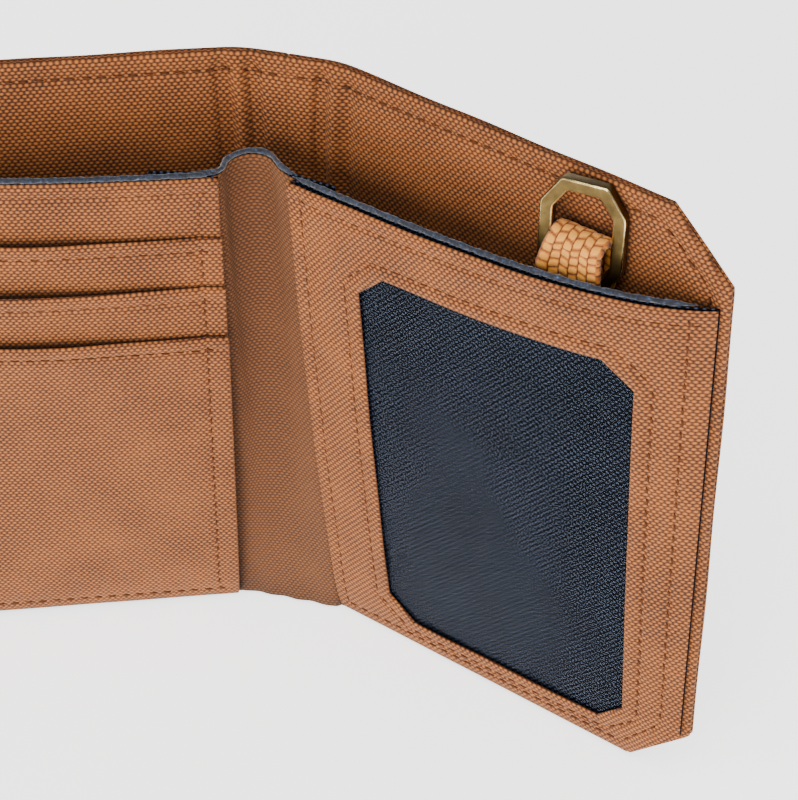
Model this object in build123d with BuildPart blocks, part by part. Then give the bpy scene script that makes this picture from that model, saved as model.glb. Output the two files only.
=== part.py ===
from build123d import *
from math import hypot, cos, radians, sin, tan
import os

os.makedirs("parts", exist_ok=True)

# Portrait bifold wallet, standing part open on its bottom edges. Millimetres, +Z up.
# The origin is the middle of the spine's bottom edge, on its inner face. -Y looks into the wallet.

# Overall sizes
shell_height = 108.0
leaf_width = 66.0
spine_width = 14.6
corner_cut = 10.0
half_fold = 21.0

# Cloth and board
canvas = 0.5
board = 0.4
lining = 0.3
film = 0.2
turned_edge = 3.0
hem_proud = 0.25
top_hem_height = 2.8
bottom_hem_height = 1.2
bottom_hem_thick = 1.2
fold_gap = 0.3

# Dividers: the panels that carry the card pockets and the window
divider_drop = 13.0
divider_foot = 2.4
divider_lean = 7.2
seat_gap = 0.3
edge_inset = 1.0
divider_corner_cut = 9.0
left_inner_edge = 3.5
right_inner_edge = 2.0
seam_width = 2.2
card_gap = 0.9
pocket_steps = (11.0, 20.5, 30.8)

# Window in the right panel
window_fold_margin = 9.3
window_edge_margin = 9.4
window_foot_margin = 4.6
window_head_margin = 11.4
window_cut = 4.6
film_lap = 4.0

# Gusset between the two dividers
gusset_clear = 0.3
gusset_trough_top = 0.44
gusset_trough_foot = 0.04

# Key ring and its webbing loop
ring_width = 12.6
ring_height = 18.0
ring_bar = 1.9
ring_bevel = 0.3
ring_corner_run = 2.9
ring_corner_rise = 4.4
ring_back_lean = 4.0
ring_play = 0.7
ring_bar_drop = 17.0
ring_from_edge = 22.0
webbing = 1.1
webbing_side_clear = 0.3
loop_above_bar = 9.2
loop_join_drop = 7.0
loop_foot_drop = 12.0

# Derived sizes
shell_thick = 2 * canvas + board
divider_top = shell_height - divider_drop
pocket_mouths = tuple(divider_top - step for step in pocket_steps)
body_height = (divider_top - divider_foot) / cos(radians(divider_lean))
outer_edge = leaf_width - edge_inset
base_front = lining + canvas
id_front = 2 * lining + card_gap + film
ring_bar_z = shell_height - ring_bar_drop
ring_from_fold = leaf_width - ring_from_edge
loop_top = ring_bar_z + loop_above_bar
loop_join = ring_bar_z - loop_join_drop
loop_foot = ring_bar_z - loop_foot_drop
loop_eye = ring_bar + 2 * ring_play
loop_depth = loop_eye + 2 * webbing
webbing_width = ring_width - 2 * ring_bar - 2 * webbing_side_clear


def right_along(side):
    """The direction along a leaf that points to the right, seen from the open side."""
    return Vector(cos(radians(half_fold)), -side * sin(radians(half_fold)), 0)


def inward(side):
    """The direction out of a leaf's inner face, into the wallet."""
    return Vector(-side * sin(radians(half_fold)), -cos(radians(half_fold)), 0)


def leaf_plane(side, depth=0.0):
    """Upright plane of a leaf, depth in front of its inner face, starting at its fold line."""
    foot = Vector(side * spine_width / 2, 0, 0) + inward(side) * depth
    return Plane(origin=foot, x_dir=right_along(side), z_dir=inward(side))


def divider_plane(side, depth=0.0):
    """Plane of a leaning divider, depth in front of its back face, starting at its foot."""
    lean = radians(divider_lean)
    up = Vector(0, 0, 1)
    normal = inward(side) * cos(lean) - up * sin(lean)
    start = Vector(side * spine_width / 2, 0, divider_foot) + inward(side) * seat_gap
    return Plane(origin=start + normal * depth, x_dir=right_along(side), z_dir=normal)


def outline(side, start, end, low, high, low_cut, high_cut):
    """Points of a panel whose outer corners are cut off, from its fold edge round to its top."""
    return [
        (side * start, low),
        (side * (end - low_cut), low),
        (side * end, low + low_cut),
        (side * end, high - high_cut),
        (side * (end - high_cut), high),
        (side * start, high),
    ]


def shell_outline(side, inset):
    """Points of a shell leaf, with its free edges moved in by inset."""
    cut = corner_cut - inset * (2 - 2**0.5)
    return outline(side, fold_gap, leaf_width - inset, inset, shell_height - inset, cut, cut)


def divider_outline(side, start, inset, high):
    """Points of a divider layer, with its foot and outer edges moved in by inset."""
    cut = divider_corner_cut - inset * (2 - 2**0.5)
    points = outline(side, start, outer_edge - inset, inset, high, cut, 0)
    return points[:4] + points[5:]


def up_divider(height):
    """Distance up a divider's own plane to a level that is height above the ground."""
    return (height - divider_foot) / cos(radians(divider_lean))


def save(builder, name):
    """Names a finished solid and writes it."""
    builder.part.label = name
    export_step(builder.part, f"parts/{name}.step")


# Shell leaves: outer canvas turned in round a board, and an inner canvas with a hem along its top
for side, word in ((-1, "left"), (1, "right")):
    with BuildPart() as outer:
        with BuildSketch(leaf_plane(side, -shell_thick)):
            with BuildLine():
                Polyline(*shell_outline(side, 0), close=True)
            make_face()
        extrude(amount=canvas + board)
        with BuildSketch(leaf_plane(side, -canvas)):
            with BuildLine():
                Polyline(*shell_outline(side, turned_edge), close=True)
            make_face()
        extrude(amount=-board, mode=Mode.SUBTRACT)
    save(outer, f"{word}_outer_canvas")

    with BuildPart() as stiffener:
        with BuildSketch(leaf_plane(side, -canvas - board)):
            with BuildLine():
                Polyline(*shell_outline(side, turned_edge), close=True)
            make_face()
        extrude(amount=board)
    save(stiffener, f"{word}_stiffener")

    with BuildPart() as inner:
        with BuildSketch(leaf_plane(side, -canvas)):
            with BuildLine():
                Polyline(*shell_outline(side, 0), close=True)
            make_face()
        extrude(amount=canvas)
        hem_low = shell_height - top_hem_height
        hem_end = leaf_width - corner_cut
        with BuildSketch(leaf_plane(side)):
            with BuildLine():
                Polyline(
                    (side * fold_gap, hem_low),
                    (side * (hem_end + top_hem_height), hem_low),
                    (side * hem_end, shell_height),
                    (side * fold_gap, shell_height),
                    close=True,
                )
            make_face()
        extrude(amount=hem_proud)
    save(inner, f"{word}_inner_canvas")

    with BuildPart() as hem:
        with BuildSketch(leaf_plane(side)):
            with BuildLine():
                Polyline(
                    (side * fold_gap, 0),
                    (side * (leaf_width - corner_cut), 0),
                    (side * (leaf_width - corner_cut + bottom_hem_height), bottom_hem_height),
                    (side * fold_gap, bottom_hem_height),
                    close=True,
                )
            make_face()
        extrude(amount=bottom_hem_thick)
    save(hem, f"{word}_bottom_hem")

# Spine: the strip between the two fold lines
with BuildPart() as spine_outer:
    with BuildSketch(Plane.XY):
        with Locations((0, shell_thick - (canvas + board) / 2)):
            Rectangle(spine_width, canvas + board)
    extrude(amount=shell_height)
save(spine_outer, "spine_outer_canvas")

with BuildPart() as spine_inner:
    with BuildSketch(Plane.XY):
        with Locations((0, canvas / 2)):
            Rectangle(spine_width, canvas)
    extrude(amount=shell_height)
save(spine_inner, "spine_inner_canvas")


def plan_point(side, along, height, depth):
    """Where a divider's layer is, in plan, at a height: along from the fold, depth from its back."""
    lean = radians(divider_lean)
    out = seat_gap + (height - divider_foot) * tan(lean) + depth / cos(lean)
    foot = Vector(side * spine_width / 2, 0, 0)
    point = foot + right_along(side) * (side * along) + inward(side) * out
    return (point.X, point.Y)


# Gusset: a double strip that bends back between the two dividers, deeper at its top
gusset_foot = divider_foot + bottom_hem_height / 2
left_end = left_inner_edge - gusset_clear
right_end = right_inner_edge - gusset_clear
for name, back, thick in (("gusset_lining", 0, lining), ("gusset_canvas", lining, canvas)):
    front = back + thick
    with BuildPart() as gusset:
        for height, trough in ((gusset_foot, gusset_trough_foot), (divider_top, gusset_trough_top)):
            left_x, left_y = plan_point(-1, left_end, height, 0)
            right_x, right_y = plan_point(1, right_end, height, 0)
            middle_x = (left_x + right_x) / 2
            middle_y = (left_y + right_y) / 2 + trough * (right_x - left_x)
            with BuildSketch(Plane.XY.offset(height)):
                with BuildLine():
                    back_left = plan_point(-1, left_end, height, back)
                    back_right = plan_point(1, right_end, height, back)
                    front_left = plan_point(-1, left_end, height, front)
                    front_right = plan_point(1, right_end, height, front)
                    ThreePointArc(back_left, (middle_x, middle_y - back), back_right)
                    Line(back_right, front_right)
                    ThreePointArc(front_right, (middle_x, middle_y - front), front_left)
                    Line(front_left, back_left)
                make_face()
        loft()
    save(gusset, name)

# Divider linings: the plain cloth on the note side of both dividers
for side, word, start in ((-1, "left", left_inner_edge), (1, "right", right_inner_edge)):
    with BuildPart() as back_cloth:
        with BuildSketch(divider_plane(side)):
            with BuildLine():
                Polyline(*divider_outline(side, start, 0, body_height), close=True)
            make_face()
        extrude(amount=lining)
    save(back_cloth, f"{word}_divider_lining")

# Left divider: a canvas base panel with three card pockets in front of it
with BuildPart() as base:
    with BuildSketch(divider_plane(-1, lining)):
        with BuildLine():
            Polyline(*divider_outline(-1, left_inner_edge, 0, body_height), close=True)
        make_face()
    extrude(amount=canvas)
save(base, "left_base_panel")

pocket_start = left_inner_edge + seam_width
for number, mouth in enumerate(pocket_mouths, start=1):
    pocket_back = base_front + card_gap * number + canvas * (number - 1)
    with BuildPart() as pocket:
        with BuildSketch(divider_plane(-1, pocket_back)):
            with BuildLine():
                points = divider_outline(-1, pocket_start, seam_width, up_divider(mouth))
                Polyline(*points, close=True)
            make_face()
        extrude(amount=canvas)
    save(pocket, f"card_pocket_{number}")

layer = card_gap + canvas
bank_thick = len(pocket_mouths) * layer
cut_turn = seam_width * (2 - 2**0.5)
cut_run = divider_corner_cut - cut_turn
for name, near, far in (
    ("pocket_seam_inner", left_inner_edge, pocket_start),
    ("pocket_seam_outer", outer_edge - seam_width, outer_edge),
):
    low = seam_width if near < leaf_width / 2 else seam_width + cut_run
    with BuildPart() as stack:
        for number, mouth in enumerate(pocket_mouths, start=1):
            with BuildSketch(divider_plane(-1, base_front)):
                with BuildLine():
                    Polyline(
                        (-near, low),
                        (-far, low),
                        (-far, up_divider(mouth)),
                        (-near, up_divider(mouth)),
                        close=True,
                    )
                make_face()
            extrude(amount=layer * number)
    save(stack, name)

with BuildPart() as stack_foot:
    with BuildSketch(divider_plane(-1, base_front)):
        with BuildLine():
            Polyline(
                (-left_inner_edge, 0),
                (-(outer_edge - divider_corner_cut), 0),
                (-(outer_edge - seam_width - cut_run), seam_width),
                (-left_inner_edge, seam_width),
                close=True,
            )
        make_face()
    extrude(amount=bank_thick)
save(stack_foot, "pocket_seam_bottom")

with BuildPart() as stack_corner:
    with BuildSketch(divider_plane(-1, base_front)):
        with BuildLine():
            Polyline(
                (-(outer_edge - divider_corner_cut), 0),
                (-outer_edge, divider_corner_cut),
                (-outer_edge, seam_width + cut_run),
                (-(outer_edge - seam_width), seam_width + cut_run),
                (-(outer_edge - seam_width - cut_run), seam_width),
                close=True,
            )
        make_face()
    extrude(amount=bank_thick)
save(stack_corner, "pocket_seam_corner")

# Right divider: a dark backing, a card's gap, a clear film and a canvas frame round the window
with BuildPart() as backing:
    with BuildSketch(divider_plane(1, lining)):
        with BuildLine():
            Polyline(*divider_outline(1, right_inner_edge, 0, body_height), close=True)
        make_face()
    extrude(amount=lining)
save(backing, "id_backing")

window_low = (right_inner_edge + window_fold_margin, window_foot_margin)
window_high = (outer_edge - window_edge_margin, body_height - window_head_margin)


def octagon(low, high, run, rise):
    """Points of an upright rectangle from low to high with its corners cut, run across and rise up."""
    return [
        (low[0] + run, low[1]),
        (high[0] - run, low[1]),
        (high[0], low[1] + rise),
        (high[0], high[1] - rise),
        (high[0] - run, high[1]),
        (low[0] + run, high[1]),
        (low[0], high[1] - rise),
        (low[0], low[1] + rise),
    ]


with BuildPart() as window_film:
    with BuildSketch(divider_plane(1, id_front - film)):
        film_low = (window_low[0] - film_lap, seam_width)
        film_high = (window_high[0] + film_lap, window_high[1] + film_lap)
        film_cut = window_cut + film_lap / 2
        with BuildLine():
            Polyline(*octagon(film_low, film_high, film_cut, film_cut), close=True)
        make_face()
    extrude(amount=film)
save(window_film, "window_film")

with BuildPart() as id_frame:
    with BuildSketch(divider_plane(1, id_front)):
        with BuildLine():
            Polyline(*divider_outline(1, right_inner_edge, 0, body_height), close=True)
        make_face()
        with BuildLine():
            Polyline(*octagon(window_low, window_high, window_cut, window_cut), close=True)
        make_face(mode=Mode.SUBTRACT)
    extrude(amount=canvas)
save(id_frame, "id_frame")

# Folded allowances that hold the frame off the backing. The fold side stays open for a card
id_seam_thick = card_gap + film
seam_shapes = {
    "id_seam_top": [
        (right_inner_edge, body_height - seam_width),
        (outer_edge, body_height - seam_width),
        (outer_edge, body_height),
        (right_inner_edge, body_height),
    ],
    "id_seam_outer": [
        (outer_edge - seam_width, seam_width + cut_run),
        (outer_edge, seam_width + cut_run),
        (outer_edge, body_height - seam_width),
        (outer_edge - seam_width, body_height - seam_width),
    ],
    "id_seam_corner": [
        (outer_edge - divider_corner_cut, 0),
        (outer_edge, divider_corner_cut),
        (outer_edge, seam_width + cut_run),
        (outer_edge - seam_width, seam_width + cut_run),
        (outer_edge - seam_width - cut_run, seam_width),
    ],
    "id_seam_bottom": [
        (right_inner_edge, 0),
        (outer_edge - divider_corner_cut, 0),
        (outer_edge - seam_width - cut_run, seam_width),
        (right_inner_edge, seam_width),
    ],
}
for name, points in seam_shapes.items():
    with BuildPart() as strip:
        with BuildSketch(divider_plane(1, 2 * lining)):
            with BuildLine():
                Polyline(*points, close=True)
            make_face()
        extrude(amount=id_seam_thick)
    save(strip, name)

# Webbing loop: rises from the right leaf, turns over the ring's lower bar and comes back down
ring_foot = Vector(spine_width / 2, 0, 0) + right_along(1) * ring_from_fold
side_plane = Plane(origin=ring_foot, x_dir=inward(1), z_dir=right_along(1) * -1)
turn = loop_depth / 2
turn_z = loop_top - turn
with BuildPart() as webbing_loop:
    with BuildSketch(side_plane):
        with BuildLine():
            Line((0, loop_foot), (0, turn_z))
            ThreePointArc((0, turn_z), (turn, loop_top), (loop_depth, turn_z))
            Line((loop_depth, turn_z), (loop_depth, loop_join + 3 * webbing))
            Line((loop_depth, loop_join + 3 * webbing), (2 * webbing, loop_join))
            Line((2 * webbing, loop_join), (2 * webbing, loop_foot))
            Line((2 * webbing, loop_foot), (0, loop_foot))
        make_face()
        with BuildLine():
            Line((webbing, loop_join), (webbing, turn_z))
            ThreePointArc((webbing, turn_z), (turn, loop_top - webbing), (loop_depth - webbing, turn_z))
            Line((loop_depth - webbing, turn_z), (loop_depth - webbing, loop_join + 4 * webbing))
            Line((loop_depth - webbing, loop_join + 4 * webbing), (webbing, loop_join))
        make_face(mode=Mode.SUBTRACT)
    extrude(amount=webbing_width / 2, both=True)
save(webbing_loop, "webbing_loop")

# Key ring: a flat octagonal frame hung on its lower bar, leaning back towards the shell
back_lean = radians(ring_back_lean)
ring_up = Vector(0, 0, 1) * cos(back_lean) - inward(1) * sin(back_lean)
ring_normal = inward(1) * cos(back_lean) + Vector(0, 0, 1) * sin(back_lean)
bar_centre = ring_foot + inward(1) * turn + Vector(0, 0, ring_bar_z)
with BuildPart() as key_ring:
    ring_plane = Plane(origin=bar_centre, x_dir=right_along(1), z_dir=ring_normal)
    ring_low = (-ring_width / 2, -ring_bar / 2)
    ring_high = (ring_width / 2, ring_height - ring_bar / 2)
    eye_low = (ring_low[0] + ring_bar, ring_low[1] + ring_bar)
    eye_high = (ring_high[0] - ring_bar, ring_high[1] - ring_bar)
    corner_slack = ring_corner_run + ring_corner_rise - hypot(ring_corner_run, ring_corner_rise)
    eye_run = ring_corner_run - ring_bar * corner_slack / ring_corner_rise
    eye_rise = ring_corner_rise - ring_bar * corner_slack / ring_corner_run
    with BuildSketch(ring_plane):
        with BuildLine():
            Polyline(*octagon(ring_low, ring_high, ring_corner_run, ring_corner_rise), close=True)
        make_face()
        with BuildLine():
            Polyline(*octagon(eye_low, eye_high, eye_run, eye_rise), close=True)
        make_face(mode=Mode.SUBTRACT)
    extrude(amount=ring_bar / 2, both=True)
    front_edges = key_ring.faces().sort_by(Axis(bar_centre, ring_normal))[-1].edges()
    chamfer(front_edges, length=ring_bevel)
    back_edges = key_ring.faces().sort_by(Axis(bar_centre, ring_normal))[0].edges()
    chamfer(back_edges, length=ring_bevel)
save(key_ring, "key_ring")
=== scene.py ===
import math

import bmesh
import bpy
import numpy as np
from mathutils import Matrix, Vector


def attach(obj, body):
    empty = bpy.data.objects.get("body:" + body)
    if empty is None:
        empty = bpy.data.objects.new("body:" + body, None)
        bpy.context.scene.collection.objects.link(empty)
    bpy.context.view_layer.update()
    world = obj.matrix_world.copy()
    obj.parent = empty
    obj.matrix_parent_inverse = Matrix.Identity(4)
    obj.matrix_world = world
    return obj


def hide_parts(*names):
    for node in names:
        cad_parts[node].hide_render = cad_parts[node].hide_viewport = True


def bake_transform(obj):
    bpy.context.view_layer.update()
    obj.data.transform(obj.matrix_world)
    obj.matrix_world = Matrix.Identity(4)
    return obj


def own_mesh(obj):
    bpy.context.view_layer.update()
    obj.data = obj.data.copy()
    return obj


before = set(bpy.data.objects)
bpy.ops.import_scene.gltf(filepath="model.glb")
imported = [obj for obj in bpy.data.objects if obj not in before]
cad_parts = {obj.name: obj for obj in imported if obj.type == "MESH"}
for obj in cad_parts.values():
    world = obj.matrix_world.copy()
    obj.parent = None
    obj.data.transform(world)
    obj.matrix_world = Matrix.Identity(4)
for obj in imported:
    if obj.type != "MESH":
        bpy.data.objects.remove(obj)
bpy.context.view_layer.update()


# ---------------------------------------------------------------------------
# Shell, outer canvas. The outside of the wallet is one strip of tan polyester-cotton canvas that
# runs round both folds, with its cut corners and edges turned in. It is sewn to the inner canvas.
# ---------------------------------------------------------------------------
MM = 0.001
SHELL_HEIGHT = 108.0
LEAF_WIDTH = 66.0
SPINE_HALF = 7.3
CORNER_CUT = 10.0
LEAF_TURN = math.radians(21.0)
BEND_LENGTH = 7.0
COVER_DEPTHS = (-0.78, -1.40)
LINER_DEPTHS = (0.0, -0.66)


def direction(angle, side):
    """Unit vectors along a leaf, outwards, and out of its inner face, for a turn of the cloth."""
    along = np.stack([side * np.cos(angle), -np.sin(angle), 0 * angle], -1)
    inward = np.stack([-side * np.sin(angle), -np.cos(angle), 0 * angle], -1)
    return along, inward


def shell_spot(side, run, depth, height):
    """A point of the shell: run from the middle of the spine, depth in front of the inner face."""
    run, depth, height = np.broadcast_arrays(*(np.asarray(x, float) for x in (run, depth, height)))
    steps = np.linspace(0, SPINE_HALF + LEAF_WIDTH + 4, 1200)
    share = np.clip((steps - SPINE_HALF + BEND_LENGTH / 2) / BEND_LENGTH, 0, 1)
    turn = LEAF_TURN * share * share * (3 - 2 * share)
    gap = steps[1] - steps[0]
    x = np.concatenate([[0], np.cumsum(np.cos((turn[1:] + turn[:-1]) / 2)) * gap])
    y = np.concatenate([[0], np.cumsum(-np.sin((turn[1:] + turn[:-1]) / 2)) * gap])
    angle = np.interp(run, steps, turn)
    _, inward = direction(angle, side)
    flat = np.stack([side * np.interp(run, steps, x), np.interp(run, steps, y), height], -1)
    return flat + inward * depth[..., None]


def leaf_spot(side, along, depth, height):
    """A point off a flat leaf: along is counted from its fold line, depth from its inner face."""
    along, depth, height = np.broadcast_arrays(*(np.asarray(x, float) for x in (along, depth, height)))
    way, inward = direction(np.array(LEAF_TURN), side)
    flat = np.stack([0 * along + side * SPINE_HALF, 0 * along, height], -1)
    return flat + way * along[..., None] + inward * depth[..., None]


def slab(name, front, back, weave, flat_start=False, wrap=False):
    """A closed piece of cloth from two grids of points, with its cut edges rolled over."""
    rows, cols = front.shape[:2]
    points = list(front.reshape(-1, 3)) + list(back.reshape(-1, 3))
    uvs = list(weave.reshape(-1, 2)) * 2
    base = rows * cols
    faces = []
    last = cols if wrap else cols - 1
    for i in range(rows - 1):
        for j in range(last):
            k = (j + 1) % cols
            quad = (i * cols + j, i * cols + k, (i + 1) * cols + k, (i + 1) * cols + j)
            faces.append(quad)
            faces.append(tuple(base + q for q in reversed(quad)))
    if wrap:
        loops = [[(i, j, i_in, j) for j in range(cols)] for i, i_in in ((0, 1), (rows - 1, rows - 2))]
    else:
        edge = [(0, j, 1, j) for j in range(cols - 1)]
        edge += [(i, cols - 1, i, cols - 2) for i in range(rows - 1)]
        edge += [(rows - 1, j, rows - 2, j) for j in range(cols - 1, 0, -1)]
        edge += [(i, 0, i, 1) for i in range(rows - 1, 0, -1)]
        loops = [edge]
    for edge in loops:
        rings = []
        for turn in (45, 90, 135):
            ring = []
            for i, j, m, n in edge:
                out = front[i, j] - front[m, n]
                reach = np.linalg.norm(out) + 1e-9
                half = (front[i, j] - back[i, j]) / 2
                size = 0.0 if flat_start and j == 0 else np.linalg.norm(half)
                way = out / reach
                points.append(
                    (front[i, j] + back[i, j]) / 2
                    + way * size * math.sin(math.radians(turn))
                    + half * math.cos(math.radians(turn))
                )
                step = weave[i, j] - weave[m, n]
                uvs.append(weave[i, j] + step / (np.linalg.norm(step) + 1e-9) * size * turn / 90)
                ring.append(len(points) - 1)
            rings.append(ring)
        first = [i * cols + j for i, j, _, _ in edge]
        rings = [first] + rings + [[base + q for q in first]]
        for a, b in zip(rings, rings[1:]):
            for q in range(len(a)):
                r = (q + 1) % len(a)
                faces.append((a[q], a[r], b[r], b[q]))
    return solid(name, points, faces, uvs)


def solid(name, points, faces, uvs=None):
    """A smooth mesh object from points in millimetres, with its weave coordinates beside them."""
    mesh = bpy.data.meshes.new(name)
    mesh.from_pydata([tuple(float(c) * MM for c in p) for p in points], [], faces)
    if uvs is not None:
        layer = mesh.uv_layers.new(name="weave")
        flat = np.array(uvs, float)
        index = np.empty(len(mesh.loops), int)
        mesh.loops.foreach_get("vertex_index", index)
        layer.data.foreach_set("uv", flat[index].ravel().astype(np.float32))
    work = bmesh.new()
    work.from_mesh(mesh)
    bmesh.ops.recalc_face_normals(work, faces=work.faces)
    work.to_mesh(mesh)
    work.free()
    mesh.polygons.foreach_set("use_smooth", [True] * len(mesh.polygons))
    piece = bpy.data.objects.new(name, mesh)
    bpy.context.scene.collection.objects.link(piece)
    return piece


def line_distance(x, y, corners):
    """Distance from each point to a line through some corners, for hems and stitched grooves."""
    best = np.full(np.shape(x), 1e9)
    for (ax, ay), (bx, by) in zip(corners, corners[1:]):
        dx, dy = bx - ax, by - ay
        t = np.clip(((x - ax) * dx + (y - ay) * dy) / (dx * dx + dy * dy), 0, 1)
        best = np.minimum(best, np.hypot(x - ax - t * dx, y - ay - t * dy))
    return best


def edges_of(width, low, high, cut, inset):
    """The free edge of a leaf, moved in by inset, from its foot at the fold round to its top."""
    near = inset * (math.sqrt(2) - 1)
    return [
        (0, low + inset),
        (width - cut - near, low + inset),
        (width - inset, low + cut + near),
        (width - inset, high - cut - near),
        (width - cut - near, high - inset),
        (0, high - inset),
    ]


HEM_STITCH = 3.0
shell_edge = edges_of(SPINE_HALF + LEAF_WIDTH, 0, SHELL_HEIGHT, CORNER_CUT, 0)
shell_stitch = edges_of(SPINE_HALF + LEAF_WIDTH, 0, SHELL_HEIGHT, CORNER_CUT, HEM_STITCH)


def shell_grid():
    """Run and height of every point of one half of a shell layer, closer together by its edges."""
    flat_end = SPINE_HALF + LEAF_WIDTH - CORNER_CUT
    run = np.concatenate([np.linspace(0, 14, 44), np.linspace(14, flat_end, 52)[1:],
                          np.linspace(flat_end, SPINE_HALF + LEAF_WIDTH, 15)[1:]])
    share = np.linspace(-1, 1, 131)
    share = (share - 0.28 * np.sin(share * math.pi) / math.pi + 1) / 2
    cut = np.clip(run - flat_end, 0, None)
    height = cut + share[:, None] * (SHELL_HEIGHT - 2 * cut)
    return np.broadcast_to(run, height.shape), height


def fold_wrinkles(side, run, height):
    """Soft upright creases where the inner cloth is short of room at the fold."""
    rise = np.clip((height - 30) / 60, 0, 1)
    sway = 0.5 * np.sin(height * 0.12)
    creases = 1.35 * np.exp(-(((run - 5.2 - sway) / 0.9) ** 2))
    creases -= 0.7 * np.exp(-(((run - 7.4 - sway) / 1.1) ** 2))
    creases += (1.3 if side < 0 else 0.5) * np.exp(-(((run - 9.6 - sway) / 1.1) ** 2))
    fade = np.clip((SHELL_HEIGHT - height) / 3.5, 0.15, 1)
    return -creases * rise * np.clip(run / 3, 0, 1) * fade


def shell_layer(side, front, back, name, inner):
    """One half of the shell's outer or inner canvas, bending at its fold."""
    run, height = shell_grid()
    groove = np.exp(-((line_distance(run, height, shell_stitch) / 0.55) ** 2))
    puff = np.clip(1 - np.abs(line_distance(run, height, shell_edge) - 1.4) / 1.4, 0, 1)
    pressed = -0.30 * groove + 0.22 * puff
    wave = 0.10 * np.sin(run * 0.31 + side) * np.sin(height * 0.17 + 1.3) * np.clip(run / 6, 0, 1)
    if inner:
        lift = front + pressed + fold_wrinkles(side, run, height) + wave * 0.5
        face = shell_spot(side, run, lift, height)
        rear = shell_spot(side, run, back, height)
    else:
        face = shell_spot(side, run, front, height)
        rear = shell_spot(side, run, back - pressed + wave, height)
    weave = np.stack([side * run, height], -1)
    return slab(name, face, rear, weave, flat_start=True)


def bend_with_shell(piece):
    """Bakes the piece's placement into its mesh."""
    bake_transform(piece)


def linear(code):
    """A hex colour as linear red, green, blue and alpha."""
    parts = [int(code[i : i + 2], 16) / 255 for i in (1, 3, 5)]
    return tuple(c / 12.92 if c <= 0.04045 else ((c + 0.055) / 1.055) ** 2.4 for c in parts) + (1,)


def add(tree, kind, links=(), **settings):
    """Adds a node: settings set its properties or its inputs by name, links join sockets to it."""
    node = tree.nodes.new(kind)
    for key, value in settings.items():
        if hasattr(node, key):
            setattr(node, key, value)
        else:
            node.inputs[key.replace("_", " ")].default_value = value
    for key, source in dict(links).items():
        tree.links.new(source, node.inputs[key])
    return node


def new_material(name):
    """A node material with its node tree and its shader."""
    material = bpy.data.materials.new(name)
    material.use_nodes = True
    return material, material.node_tree, material.node_tree.nodes["Principled BSDF"]


def noise(tree, place, scale, detail):
    """Cloudy noise over the place given."""
    links = {"Vector": place}
    return add(tree, "ShaderNodeTexNoise", links, Scale=scale, Detail=detail).outputs


def arithmetic(tree, operation, first, second, third=None):
    """Arithmetic on sockets and plain numbers."""
    node = add(tree, "ShaderNodeMath", {0: first}, operation=operation)
    for index, value in ((1, second), (2, third)):
        if isinstance(value, (int, float)):
            node.inputs[index].default_value = value
        elif value is not None:
            tree.links.new(value, node.inputs[index])
    return node.outputs[0]


def relief(tree, shader, height, strength, distance):
    """Fine relief on the shader from a height."""
    node = add(tree, "ShaderNodeBump", {"Height": height}, Strength=strength, Distance=distance)
    tree.links.new(node.outputs[0], shader.inputs["Normal"])


def finish(shader, **values):
    """Sets the shader's plain inputs."""
    for key, value in values.items():
        shader.inputs[key.replace("_", " ")].default_value = value


def ramp(tree, source, stops):
    """A colour for each value of source, from (place, hex) stops."""
    node = add(tree, "ShaderNodeValToRGB", {0: source})
    while len(node.color_ramp.elements) < len(stops):
        node.color_ramp.elements.new(0.5)
    for element, (place, code) in zip(node.color_ramp.elements, stops):
        element.position = place
        element.color = linear(code)
    return node.outputs[0]


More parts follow.
